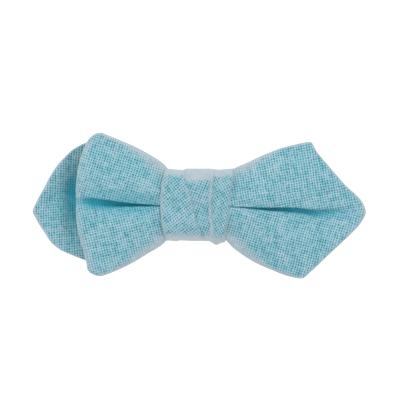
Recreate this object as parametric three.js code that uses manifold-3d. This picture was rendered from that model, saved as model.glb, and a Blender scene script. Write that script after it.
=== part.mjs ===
// A clip-on diamond-point bow tie, in millimetres.
// +X runs to the right of someone facing the bow, +Y runs back to the wearer, +Z is up.
// The origin is the middle of the clip bar's rear face, which lies against the collar.
// The bow is two padded cloth strips. Each has a pointed blade at one end and is folded back
// into a loop at the other. A thread gathers both at the waist, and a cloth band hides the
// thread and holds on a steel bar, whose two sprung jaws bite the leaves of the collar.
import * as THREE from "three";
import { mergeVertices } from "three/addons/utils/BufferGeometryUtils.js";
import Module from "manifold-3d";

const wasm = await Module();
wasm.setup();

// ---- Driving dimensions ----
const CLEARANCE = 0.3; // between pieces that touch on the bench
const CLOTH = 0.4; // one ply of the woven cotton
const INTERLINING = 0.6; // the stiffener between the two plies
const THREAD = 0.5; // sewing and gathering thread
const SEAM = 2.6; // how far the stiffener stops short of a strip's edges
const SEAM_LINE = 0.9; // from a strip's edges in to its seam thread

const WAIST_HALF = 9.4; // half the height of the gathered strips inside the knot
const WAIST_PLEAT = 1.6; // how far the gathered strips stand out between pleat and edge
const MOUTH = 12.5; // from the centre to where the wings leave the knot
const MOUTH_HALF = 10.6; // half the wings' height where they leave the knot
const SPREAD = 1.9; // how much later than a straight taper the wings widen
const BLUNTNESS = 0.12; // share of its half height over which a blade's point is rounded
const PLEAT_SKEW = 0.62; // how far the wings' crowns lie towards the pleat; 1 is halfway
const EDGE_FLATNESS = 0.75; // share of the pleat's depth that is lost at a wing's end
const RETURN_PLEAT = 0.25; // the loop's inner layer has this share of the pleat's depth

// Blade: reach to the point, reach and half height at its corners, roundness of its slants,
// and the rise and bend of its middle line. Loop: the same to its folded edge.
const FRONT = {
  blade: { reach: 60.6, corner: 38.4, half: 24.7, round: 0.03, rise: -0.046, bend: 0 },
  loop: { reach: 43.7, corner: 36.5, half: 25.7, rise: 0.01, bend: 0 },
  swell: 1.5, // how far the wings stand forward of the waist
  pleat: 3.0, // depth of the wings' middle pleat
  opening: 5.2, // between the middles of the loop's two layers at its fold
};
const REAR = {
  blade: { reach: 59.2, corner: 36.5, half: 22.2, round: 0.43, rise: 0.174, bend: -0.00357 },
  loop: { reach: 41.5, corner: 35.5, half: 22.4, rise: -0.046, bend: 0 },
  swell: 0.0,
  pleat: 1.2,
  opening: 3.6,
};

const GATHER_TURNS = 3;
const GATHER_SLACK = 1.0; // extra height, so that the rounded turns pass the strips' corners
const BAND = 1.6; // thickness of the knot band, which is cloth folded in three
const BAND_HALF = 12.4; // half the band's width across the front
const BAND_BACK_HALF = 7; // half its width behind the clip bar
const BAND_FLARE = 1.2; // how far the band opens at its two mouths
const STITCHES = { count: 8, half: 3, reach: 2.4 }; // half their row, and how far each reaches

const BAR = { half: 31, height: 9, thick: 0.8, corner: 3 };
const HINGE = { x: 13, back: 2.3, pin: 0.6, play: 0.08, barrel: 1.4, ear: 2.2, head: 1.05 };
const JAW = { reach: 28, half: 3.3, thick: 0.8, tooth: 0.9, teeth: 6 };
const TAB = { reach: 5.2, rise: 3.4 };
const SPRING = { wire: 0.4, pitch: 0.5, turns: 3.5, barLeg: 3.6, tabLeg: 2.8 };

// ---- Values that follow from them ----
const STRIP = 2 * CLOTH + INTERLINING + 2 * CLEARANCE;
const PITCH = STRIP + CLEARANCE;
const STACK_MIDDLE =
  BAR.thick + THREAD + 2 * CLEARANCE + STRIP / 2 + WAIST_PLEAT + 1.5 * PITCH;
const STACK_HALF = 1.5 * PITCH + STRIP / 2 + WAIST_PLEAT;
const THREAD_HALF = {
  z: WAIST_HALF + THREAD / 2 + CLEARANCE + GATHER_SLACK,
  ahead: STACK_HALF + THREAD / 2 + CLEARANCE,
};
const BAND_IN = {
  z: THREAD_HALF.z + THREAD / 2 + CLEARANCE,
  front: STACK_MIDDLE + THREAD_HALF.ahead + THREAD / 2 + CLEARANCE,
  back: -CLEARANCE,
};
const BAND_MIDDLE = (BAND_IN.front + BAND_IN.back) / 2;
const BAND_DEPTH = (BAND_IN.front - BAND_IN.back) / 2;
const SQUARENESS = 4; // exponent of the rounded-square sections through the knot

const { clamp, lerp, smoothstep } = THREE.MathUtils;
const point = (x, ahead, z) => new THREE.Vector3(x, -ahead, z);

// ---- Materials ----
const finish = (color, roughness, metalness = 0) =>
  new THREE.MeshStandardMaterial({ color, roughness, metalness });
const CHAMBRAY = finish(0x81b4c1, 0.9);
const FELT = finish(0xe8e6df, 1.0);
const COTTON_THREAD = finish(0x7fb0bd, 0.7);
const NICKEL = finish(0xb9bbbd, 0.3, 1.0);
const SPRING_STEEL = finish(0x8d9094, 0.35, 1.0);

// ---- The two strips ----

// How high the strip stands above its middle line, x from the centre, along a wing's edge.
function halfHeight(wing, x) {
  if (x < MOUTH) return lerp(WAIST_HALF, MOUTH_HALF, (x / MOUTH) ** 3);
  const left = Math.max(0, (wing.corner - x) / (wing.corner - MOUTH));
  return wing.half - (wing.half - MOUTH_HALF) * left ** SPREAD;
}

// How far the wing's outer boundary lies from the centre, t across it from -1 to 1.
function boundary(wing, t) {
  const slant = (a) => Math.hypot(a, BLUNTNESS) - BLUNTNESS;
  const a = Math.abs(t);
  const round = wing.round ?? 0;
  const pointed = lerp(slant(a), a ** 6, round) / lerp(slant(1), 1, round);
  const fall = wing.round === undefined ? a ** 3 : pointed;
  return wing.reach - (wing.reach - wing.corner) * fall;
}

// The wing's outline at s of the way from the centre to its boundary, without its depth.
function wingOutline(wing, s, t) {
  const x = s * boundary(wing, t);
  const z = t * halfHeight(wing, s * wing.corner);
  const free = smoothstep(x, MOUTH / 2, MOUTH * 1.6);
  return { x, z: z + free * (wing.rise * x + wing.bend * x * x) };
}

// The section's stand above its pleat: zero at the pleat and the edges, one between them.
function crown(x, t) {
  const shift = lerp(1, PLEAT_SKEW, smoothstep(x, MOUTH * 0.6, MOUTH * 2.2));
  return Math.sin(Math.PI * Math.abs(t) ** shift);
}

// Depth of a strip's middle ahead of the stack's middle; layer 0 is the outer one.
function layerDepth(strip, layer, wing, x, t) {
  const packed = (1.5 - layer) * PITCH;
  const out = smoothstep(x, MOUTH * 0.7, MOUTH * 2);
  const edge = smoothstep(x, wing.corner * 0.6, wing.reach);
  const pleat = lerp(WAIST_PLEAT, layer ? strip.pleat * RETURN_PLEAT : strip.pleat, out);
  const swell = layer ? 0 : strip.swell * out;
  return packed + swell + pleat * crown(x, t) * (1 - EDGE_FLATNESS * edge);
}

// Stations along a strip, from the blade's point through the waist, round the fold and back.
const BLADE_STEPS = [1, 0.9, 0.78, 0.65, 0.52, 0.4, 0.3, 0.22, 0.12];
const OUTER_STEPS = [0, 0.16, 0.28, 0.4, 0.54, 0.7, 0.86];
const FOLD_STEPS = [0, 0.25, 0.5, 0.75, 1];
const RETURN_STEPS = [0.86, 0.7, 0.54, 0.4, 0.28, 0.16, 0.02];
const STATIONS = [
  ...BLADE_STEPS.map((s) => ({ part: "blade", s })),
  ...OUTER_STEPS.map((s) => ({ part: "outer", s })),
  ...FOLD_STEPS.map((turn) => ({ part: "fold", turn })),
  ...RETURN_STEPS.map((s) => ({ part: "return", s })),
];
const ACROSS = 10; // faces across a strip

// A point of the strip, offset mm outwards from its middle. The blade is on the +X side.
function stripPoint(strip, station, t, offset) {
  if (station.part === "blade") {
    const p = wingOutline(strip.blade, station.s, t);
    return { ...p, ahead: layerDepth(strip, 0, strip.blade, p.x, t) + offset };
  }
  const loop = strip.loop;
  const end = (layer) => {
    const radius = strip.opening / 2;
    const p = wingOutline(loop, 1 - radius / loop.reach, t);
    return { ...p, ahead: layerDepth(strip, layer, loop, p.x, t) };
  };
  if (station.part === "fold") {
    const [outer, inner] = [end(0), end(1)];
    const angle = Math.PI * station.turn;
    const radius = strip.opening / 2 + offset;
    const middle = (outer.ahead + inner.ahead) / 2;
    const half = (outer.ahead - inner.ahead) / 2 + offset;
    const z = lerp(outer.z, inner.z, station.turn);
    return { x: -outer.x - radius * Math.sin(angle), z, ahead: middle + half * Math.cos(angle) };
  }
  const inward = station.part === "return";
  const last = end(0).x;
  const p = wingOutline(loop, station.s, t);
  const x = Math.min(p.x, last);
  const depth = layerDepth(strip, inward ? 1 : 0, loop, x, t);
  return { x: -x, z: p.z, ahead: depth + (inward ? -offset : offset) };
}

// A closed sheet made by carrying a box's grid to place(along, across, through). Its back is
// split along the same diagonals as its front, so that sheets lying close never cross.
function sheet(alongFaces, acrossFaces, place) {
  const box = new THREE.BoxGeometry(1, 1, 1, alongFaces, acrossFaces, 1);
  const at = box.getAttribute("position");
  for (let i = 0; i < at.count; i++) {
    const p = place(at.getX(i) + 0.5, at.getY(i) + 0.5, at.getZ(i) + 0.5);
    at.setXYZ(i, p.x, p.y, p.z);
  }
  const back = box.groups[5];
  for (let i = back.start; i < back.start + back.count; i += 6) {
    const [a, b, d, , c] = box.index.array.slice(i, i + 6);
    box.index.array.set([a, b, c, a, c, d], i);
  }
  return outward(box);
}

// The same surface as a closed solid whose faces point out.
function outward(geometry) {
  const bare = geometry.index ? geometry.toNonIndexed() : geometry.clone();
  for (const name of ["normal", "uv"]) bare.deleteAttribute(name);
  const merged = mergeVertices(bare, 1e-4);
  const [p, index] = [merged.getAttribute("position"), merged.index];
  const [a, b, c] = [0, 1, 2].map(() => new THREE.Vector3());
  let volume = 0;
  for (let i = 0; i < index.count; i += 3) {
    [a, b, c].forEach((v, k) => v.fromBufferAttribute(p, index.getX(i + k)));
    volume += a.dot(b.cross(c));
  }
  if (volume < 0) {
    for (let i = 0; i < index.count; i += 3) {
      const second = index.getX(i + 1);
      index.setX(i + 1, index.getX(i + 2));
      index.setX(i + 2, second);
    }
  }
  return merged;
}

// The same point in the bow. The front strip has its blade on +X, and the rear one is turned
// about +Z, with its face to the back. The point is kept inset mm inside the strip's edges.
function bowPoint({ strip, facing }, station, t, offset, inset) {
  const wing = station.part === "blade" ? strip.blade : strip.loop;
  const s = Math.min(station.s ?? 1, station.part === "blade" ? 1 - inset / wing.reach : 1);
  const most = 1 - inset / halfHeight(wing, s * wing.corner);
  const p = stripPoint(strip, { ...station, s }, clamp(t, -most, most), offset);
  return point(facing * p.x, STACK_MIDDLE + facing * p.ahead, p.z);
}

// One ply of a strip, from low to high mm outwards of the strip's middle.
function stripPly(placed, [low, high], inset) {
  return sheet(STATIONS.length - 1, ACROSS, (along, across, through) => {
    const station = STATIONS[Math.round(along * (STATIONS.length - 1))];
    return bowPoint(placed, station, 2 * across - 1, lerp(low, high, through), inset);
  });
}

// The thread of the seam that joins the face to the lining, along both edges and the point.
function seamThread(placed) {
  const up = STATIONS.map((station) => [station, 1]);
  const round = Array.from({ length: ACROSS - 1 }, (_, i) => [STATIONS[0], 1 - (2 * (i + 1)) / ACROSS]);
  const down = STATIONS.map((station) => [station, -1]);
  const route = [...up.reverse(), ...round, ...down];
  return sheet(route.length - 1, 1, (along, across, through) => {
    const [station, t] = route[Math.round(along * (route.length - 1))];
    const inset = SEAM_LINE + THREAD * (across - 0.5);
    return bowPoint(placed, station, t, THREAD * (through - 0.5), inset);
  });
}

// ---- The gathering thread and the knot band ----

// A point on a rounded square round the waist, angle from the top towards the front.
function roundSquare(angle, halfZ, halfAhead) {
  const [c, s] = [Math.cos(angle), Math.sin(angle)];
  const bend = (v) => Math.sign(v) * Math.abs(v) ** (2 / SQUARENESS);
  return { z: halfZ * bend(c), ahead: halfAhead * bend(s) };
}

// A round tube through a list of points.
function tube(points, radius, sides, steps) {
  const ring = new THREE.Shape();
  for (let i = 0; i < sides; i++) {
    const a = (2 * Math.PI * i) / sides;
    const [x, y] = [radius * Math.cos(a), radius * Math.sin(a)];
    if (i) ring.lineTo(x, y);
    else ring.moveTo(x, y);
  }
  ring.closePath();
  const extrudePath = new THREE.CatmullRomCurve3(points);
  return outward(new THREE.ExtrudeGeometry(ring, { steps, extrudePath, curveSegments: 1 }));
}

function gatherThread() {
  const steps = 20 * GATHER_TURNS;
  const points = [];
  for (let i = 0; i <= steps; i++) {
    const angle = (2 * Math.PI * GATHER_TURNS * i) / steps;
    const p = roundSquare(angle, THREAD_HALF.z, THREAD_HALF.ahead);
    const x = (i / steps - 0.5) * GATHER_TURNS * (THREAD + CLEARANCE);
    points.push(point(x, STACK_MIDDLE + p.ahead, p.z));
  }
  return tube(points, THREAD / 2, 5, steps);
}

// The knot band runs once round, and its ends nearly meet behind the clip bar.
function knotBand() {
  const butt = (CLEARANCE / BAND_IN.z) ** (SQUARENESS / 2) / Math.PI;
  return sheet(40, 8, (along, across, through) => {
    const angle = -Math.PI / 2 + Math.PI * lerp(butt, 2 - butt, along);
    const out = through * BAND;
    const p = roundSquare(angle, BAND_IN.z + out, BAND_DEPTH + out);
    const front = smoothstep(p.ahead, -BAND_DEPTH * 0.95, BAND_DEPTH * 0.2);
    const x = lerp(-1, 1, across) * lerp(BAND_BACK_HALF, BAND_HALF, front);
    const open = BAND_FLARE * (Math.abs(x) / BAND_HALF) ** 6;
    const ahead = BAND_MIDDLE + p.ahead * (1 + open / (3 * BAND_DEPTH));
    return point(x, ahead, p.z * (1 + open / BAND_IN.z));
  });
}

// Whip stitches that close the band behind the clip bar.
function closingStitches() {
  const back = BAND_IN.back - BAND - CLEARANCE - THREAD / 2;
  const { count, half, reach } = STITCHES;
  const points = [];
  for (let i = 0; i <= count; i++) {
    points.push(point(lerp(-half, half, i / count), back, i % 2 ? reach : -reach));
  }
  return tube(points, THREAD / 2, 5, 4 * count);
}

// ---- The collar clip ----

function solid(geometry) {
  const closed = outward(geometry);
  return new wasm.Manifold(
    new wasm.Mesh({
      numProp: 3,
      vertProperties: new Float32Array(closed.getAttribute("position").array),
      triVerts: new Uint32Array(closed.index.array),
    }),
  );
}

function geometryOf(made) {
  const mesh = made.getMesh();
  return new THREE.BufferGeometry()
    .setAttribute("position", new THREE.BufferAttribute(mesh.vertProperties, 3))
    .setIndex(new THREE.BufferAttribute(mesh.triVerts, 1));
}

// A cylinder whose axis is parallel to Z.
function post(radius, height, x, ahead, z = 0) {
  const round = new THREE.CylinderGeometry(radius, radius, height, 24).rotateX(Math.PI / 2);
  return solid(round.translate(x, -ahead, z));
}

function block(low, high) {
  const size = [0, 1, 2].map((k) => high[k] - low[k]);
  const middle = [0, 1, 2].map((k) => (high[k] + low[k]) / 2);
  return solid(new THREE.BoxGeometry(...size).translate(...middle));
}

// The bar: a strip of steel with two pairs of ears folded back for the hinge pins.
function clipBar() {
  const [halfX, halfZ] = [BAR.half, BAR.height / 2];
  const outline = new THREE.Shape();
  const round = BAR.corner;
  outline.moveTo(-halfX + round, -halfZ);
  outline.lineTo(halfX - round, -halfZ);
  outline.absarc(halfX - round, -halfZ + round, round, -Math.PI / 2, 0);
  outline.absarc(halfX - round, halfZ - round, round, 0, Math.PI / 2);
  outline.lineTo(-halfX + round, halfZ);
  outline.absarc(-halfX + round, halfZ - round, round, Math.PI / 2, Math.PI);
  outline.absarc(-halfX + round, -halfZ + round, round, Math.PI, 1.5 * Math.PI);
  const plate = new THREE.ExtrudeGeometry(outline, {
    depth: BAR.thick,
    bevelEnabled: false,
    curveSegments: 6,
  }).rotateX(Math.PI / 2);
  let bar = solid(plate);
  for (const side of [-1, 1]) {
    for (const end of [-1, 1]) {
      const inner = end * (halfZ - BAR.thick / 2);
      const ear = post(HINGE.ear, BAR.thick, side * HINGE.x, -HINGE.back, inner);
      const web = block(
        [side * HINGE.x - HINGE.ear, -BAR.thick / 2, inner - BAR.thick / 2],
        [side * HINGE.x + HINGE.ear, HINGE.back, inner + BAR.thick / 2],
      );
      bar = bar.add(ear).add(web);
    }
    bar = bar.subtract(post(HINGE.pin + HINGE.play, BAR.height * 2, side * HINGE.x, -HINGE.back));
  }
  return geometryOf(bar);
}

// A plate of even thickness seen edge on, through a smooth line of points.
function plateProfile(points, thick) {
  const line = new THREE.SplineCurve(points.map((p) => new THREE.Vector2(...p)));
  const steps = 18;
  const edge = (side) =>
    Array.from({ length: steps + 1 }, (_, i) => {
      const [p, d] = [line.getPoint(i / steps), line.getTangent(i / steps)];
      return new THREE.Vector2(p.x - (side * d.y * thick) / 2, p.y + (side * d.x * thick) / 2);
    });
  return new THREE.Shape([...edge(1), ...edge(-1).reverse()]);
}

const springLength = SPRING.turns * SPRING.pitch;

// A jaw: thumb tab, knuckles on the pin, bowed arm and a row of teeth. It is made for the +X
// side and mirrored for the other.
function jaw(side) {
  const [x, back] = [HINGE.x, HINGE.back];
  const crest = back + HINGE.barrel - JAW.thick / 2;
  const profile = plateProfile(
    [
      [x - TAB.reach, crest + TAB.rise],
      [x - TAB.reach * 0.62, crest + TAB.rise * 0.62],
      [x - 1.2, crest + 0.25],
      [x + 2, crest],
      [lerp(x, JAW.reach, 0.55), crest + 0.1],
      [JAW.reach - 1.6, crest - 0.9],
      [JAW.reach, CLEARANCE + JAW.thick / 2],
    ],
    JAW.thick,
  );
  const arm = new THREE.ExtrudeGeometry(profile, { depth: 2 * JAW.half, bevelEnabled: false });
  const knuckle = post(HINGE.barrel, 2 * JAW.half, x, -back);
  let made = solid(arm.translate(0, 0, -JAW.half)).add(knuckle);
  const springRoom = springLength + SPRING.wire + 2 * CLEARANCE;
  made = made
    .subtract(block([-BAR.half, -5, -BAR.height], [2 * BAR.half, CLEARANCE, BAR.height]))
    .subtract(post(HINGE.pin + HINGE.play, BAR.height, x, -back))
    .subtract(
      block(
        [x - HINGE.barrel - 1, -1, -springRoom / 2],
        [x + HINGE.barrel + 0.4, back + HINGE.barrel + 1, springRoom / 2],
      ),
    );
  const gap = (2 * JAW.half) / JAW.teeth;
  for (let i = 0; i < JAW.teeth; i++) {
    const notch = new THREE.CylinderGeometry(JAW.tooth / 2, JAW.tooth / 2, 4, 4).rotateZ(Math.PI / 2);
    notch.translate(JAW.reach, CLEARANCE, -JAW.half + gap * i);
    made = made.subtract(solid(notch));
  }
  return geometryOf(side > 0 ? made : made.mirror([1, 0, 0]));
}

// A hinge pin with a rivet head at each end.
function hingePin(side) {
  const half = BAR.height / 2 + CLEARANCE;
  const head = { radius: HINGE.head, high: 0.5 };
  const profile = [
    [0, -half - head.high],
    [head.radius, -half - head.high],
    [head.radius, -half],
    [HINGE.pin, -half],
    [HINGE.pin, half],
    [head.radius, half],
    [head.radius, half + head.high],
    [0, half + head.high],
  ].map((p) => new THREE.Vector2(...p));
  const pin = new THREE.LatheGeometry(profile, 20).rotateX(Math.PI / 2);
  return outward(pin.translate(side * HINGE.x, HINGE.back, 0));
}

// A torsion spring: coils round the pin, one leg on the bar and one under the thumb tab.
function torsionSpring(side) {
  const radius = HINGE.pin + HINGE.play + SPRING.wire / 2 + CLEARANCE / 4;
  const low = -springLength / 2;
  const steps = 12 * SPRING.turns;
  const points = [point(HINGE.x - SPRING.barLeg, -CLEARANCE - SPRING.wire / 2, low)];
  for (let i = 0; i <= steps; i++) {
    const angle = 2 * Math.PI * SPRING.turns * (i / steps);
    const ahead = -HINGE.back + radius * Math.cos(angle);
    points.push(point(HINGE.x + radius * Math.sin(angle), ahead, lerp(low, -low, i / steps)));
  }
  points.push(point(HINGE.x - SPRING.tabLeg, -HINGE.back - radius - CLEARANCE, -low));
  for (const p of points) p.x *= side;
  return tube(points, SPRING.wire / 2, 5, 56);
}

// ---- The assembly ----
const bowTie = new THREE.Group();
function addPiece(name, geometry, material) {
  const mesh = new THREE.Mesh(geometry, material);
  mesh.name = name;
  bowTie.add(mesh);
}

const STRIPS = [
  ["front_strip", { strip: FRONT, facing: 1 }],
  ["rear_strip", { strip: REAR, facing: -1 }],
];
for (const [name, placed] of STRIPS) {
  const [inside, outside] = [STRIP / 2 - CLOTH, STRIP / 2];
  addPiece(name + "_face", stripPly(placed, [inside, outside], 0), CHAMBRAY);
  addPiece(name + "_interlining", stripPly(placed, [-INTERLINING / 2, INTERLINING / 2], SEAM), FELT);
  addPiece(name + "_lining", stripPly(placed, [-outside, -inside], 0), CHAMBRAY);
  addPiece(name + "_seam_thread", seamThread(placed), COTTON_THREAD);
}
addPiece("gather_thread", gatherThread(), COTTON_THREAD);
addPiece("knot_band", knotBand(), CHAMBRAY);
addPiece("knot_closing_stitches", closingStitches(), COTTON_THREAD);
addPiece("clip_bar", clipBar(), NICKEL);
for (const [name, side] of [["right", 1], ["left", -1]]) {
  addPiece(name + "_jaw", jaw(side), NICKEL);
  addPiece(name + "_hinge_pin", hingePin(side), SPRING_STEEL);
  addPiece(name + "_jaw_spring", torsionSpring(side), SPRING_STEEL);
}

export default bowTie;
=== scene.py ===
"""A clip-on bow tie in teal chambray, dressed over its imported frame.

Lengths are in millimetres until a mesh is made. +X runs to the right of someone facing the
bow, +Y back to the wearer and +Z up. "Ahead" is how far a point stands forward, towards -Y.
"""
from math import pi, radians

import bpy
import numpy as np
from mathutils import Matrix, Vector


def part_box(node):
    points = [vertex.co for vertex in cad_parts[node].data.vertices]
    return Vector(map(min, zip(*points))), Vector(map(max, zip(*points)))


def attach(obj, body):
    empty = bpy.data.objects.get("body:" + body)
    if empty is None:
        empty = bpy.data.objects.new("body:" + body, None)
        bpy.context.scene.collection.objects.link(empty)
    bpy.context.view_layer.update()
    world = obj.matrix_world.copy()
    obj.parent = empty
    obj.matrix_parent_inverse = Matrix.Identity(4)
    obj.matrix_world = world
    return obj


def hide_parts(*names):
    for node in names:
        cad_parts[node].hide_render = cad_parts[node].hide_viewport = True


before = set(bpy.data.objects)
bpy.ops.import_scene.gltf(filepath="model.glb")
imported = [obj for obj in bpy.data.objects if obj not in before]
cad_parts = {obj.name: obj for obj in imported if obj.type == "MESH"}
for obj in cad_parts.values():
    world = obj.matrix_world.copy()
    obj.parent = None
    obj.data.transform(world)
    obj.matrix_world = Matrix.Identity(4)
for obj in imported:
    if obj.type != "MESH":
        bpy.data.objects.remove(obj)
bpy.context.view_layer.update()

bl_info = {
    "name": "Clip-on bow tie",
    "version": (1, 0, 0),
    "blender": (4, 5, 0),
    "location": "View3D > Sidebar > Bow tie",
    "description": "Dresses the frame of a diamond-point bow tie in cloth, thread and metal",
    "category": "Object",
}

MM = 0.001
WAVES = 5  # sine waves in a ripple
SLANTING_LINE = (0.31, 0.53, 0.79)  # from which the rings of a tube take their start


# ---- Shape helpers ----

def node_box(node):
    """Lowest and highest corner of a frame node, in millimetres."""
    low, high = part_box(node)
    return np.array(low) / MM, np.array(high) / MM


def ease(x, low, high):
    """0 below low, 1 above high, and 3q^2 - 2q^3 between them."""
    q = np.clip((x - low) / (high - low), 0, 1)
    return q * q * (3 - 2 * q)


def through(x, knots):
    """Smooth curve through the (x, y) knots, level beyond them. Each span is a cubic whose end
    slopes are those of the parabolas through neighbouring knots."""
    xs, ys = np.array(knots, float).T
    x = np.clip(x, xs[0], xs[-1])
    slope = np.gradient(ys, xs)
    i = np.clip(np.searchsorted(xs, x) - 1, 0, len(xs) - 2)
    span = xs[i + 1] - xs[i]
    q = (x - xs[i]) / span
    rise = (1 - q) ** 2 * (1 + 2 * q) * ys[i] + q * q * (3 - 2 * q) * ys[i + 1]
    return rise + span * q * (1 - q) * ((1 - q) * slope[i] - q * slope[i + 1])


def ripple(x, z, seed, length):
    """Gentle unevenness from -1 to 1: the mean of WAVES sine waves of about that length, whose
    directions and phases come from the seed."""
    draw = np.random.default_rng(seed)
    total = 0
    for _ in range(WAVES):
        turn, phase = draw.uniform(0, 2 * pi, 2)
        wave = 2 * pi / (length * draw.uniform(0.7, 1.5))
        total = total + np.sin(wave * (x * np.cos(turn) + z * np.sin(turn)) + phase)
    return total / WAVES


def quads(rows, columns, start=0):
    """Corner numbers of the quads of a grid of points stored row by row."""
    index = start + np.arange(rows * columns).reshape(rows, columns)
    corners = [index[:-1, :-1], index[1:, :-1], index[1:, 1:], index[:-1, 1:]]
    return np.stack(corners, -1).reshape(-1, 4)


def corner_values(grid):
    """A grid's values at the corners of its quads, in the order of quads()."""
    corners = [grid[:-1, :-1], grid[1:, :-1], grid[1:, 1:], grid[:-1, 1:]]
    return np.stack(corners, 2)


def build(name, points, faces, weave=None, light_and_wear=None):
    """A smooth-shaded mesh object from points in millimetres. The faces are turned round if
    the volume they enclose, the sum of a . (b x c) / 6, is negative. light_and_wear gives each
    point of a cloth its painted light: up to 1 where it is pale with painted sheen and highlight,
    partly rubbed wear, and down to -1 where a hollow has painted shade."""
    if isinstance(faces, np.ndarray):
        a, b, c, d = (points[faces[:, k]] for k in range(4))
        volume = np.sum(a * np.cross(b, c)) + np.sum(a * np.cross(c, d))
        if volume < 0:
            faces = faces[:, ::-1]
            weave = None if weave is None else weave[:, ::-1]
        faces = faces.tolist()
    mesh = bpy.data.meshes.new(name)
    mesh.from_pydata((points * MM).tolist(), [], faces)
    if weave is not None:
        layer = mesh.uv_layers.new(name="weave")
        layer.uv.foreach_set("vector", np.ascontiguousarray(weave, dtype=np.float32).ravel())
    if light_and_wear is not None:
        mesh.attributes.new("light_and_wear", "FLOAT", "POINT").data.foreach_set("value", light_and_wear)
    mesh.shade_smooth()
    piece = bpy.data.objects.new(name, mesh)
    bpy.context.scene.collection.objects.link(piece)
    return piece


def shell(name, outer, inner, weave_outer=None, weave_inner=None, light_and_wear=None):
    """A closed sheet from two grids of points that share their shape. Their rims are joined by
    one row of quads all round."""
    rows, columns = outer.shape[:2]
    index = np.arange(rows * columns).reshape(rows, columns)
    border = np.concatenate([index[0, :-1], index[:-1, -1], index[-1, :0:-1], index[:0:-1, 0]])
    following = np.roll(border, -1)
    other = rows * columns
    sides = np.stack([border, following, following + other, border + other], -1)
    front = quads(rows, columns)
    faces = np.concatenate([front, quads(rows, columns, other)[:, ::-1], sides])
    points = np.concatenate([outer.reshape(-1, 3), inner.reshape(-1, 3)])
    weave = None
    if weave_outer is not None:
        edge = np.full((len(sides), 4, 2), 0.5)
        under = weave_inner.reshape(-1, 4, 2)[:, ::-1]
        weave = np.concatenate([weave_outer.reshape(-1, 4, 2), under, edge])
        light_and_wear = np.tile(light_and_wear.ravel(), 2).astype(np.float32)
    return build(name, points, faces, weave, light_and_wear)


def tube(name, path, radius, sides=12):
    """A round closed tube along a path of points: rings of the radius in the plane square to the
    path. Each ring starts in the direction of path x r, where r is SLANTING_LINE."""
    step = np.gradient(path, axis=0)
    first = np.cross(step, SLANTING_LINE)
    second = np.cross(step, first)
    first /= np.linalg.norm(first, axis=1, keepdims=True)
    second /= np.linalg.norm(second, axis=1, keepdims=True)
    angle = np.linspace(0, 2 * pi, sides, endpoint=False)[:, None]
    ring = np.cos(angle) * first[:, None] + np.sin(angle) * second[:, None]
    points = np.concatenate([(path[:, None] + radius * ring).reshape(-1, 3), path[[0, -1]]])
    index = np.arange(len(path) * sides).reshape(-1, sides)
    beside = np.roll(index, -1, axis=1)
    walls = np.stack([index[:-1], beside[:-1], beside[1:], index[1:]], -1).reshape(-1, 4)
    last = len(points) - 1
    first_cap = np.stack([beside[0], index[0], np.full(sides, last - 1)], -1)
    last_cap = np.stack([index[-1], beside[-1], np.full(sides, last)], -1)
    return build(name, points, [*walls.tolist(), *first_cap.tolist(), *last_cap.tolist()])


# ---- Places that come from the frame ----
GATHER_LOW, GATHER_HIGH = node_box("gather_thread")
STACK_AHEAD = -(GATHER_LOW[1] + GATHER_HIGH[1]) / 2
STITCH_LOW, STITCH_HIGH = node_box("knot_closing_stitches")

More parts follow.
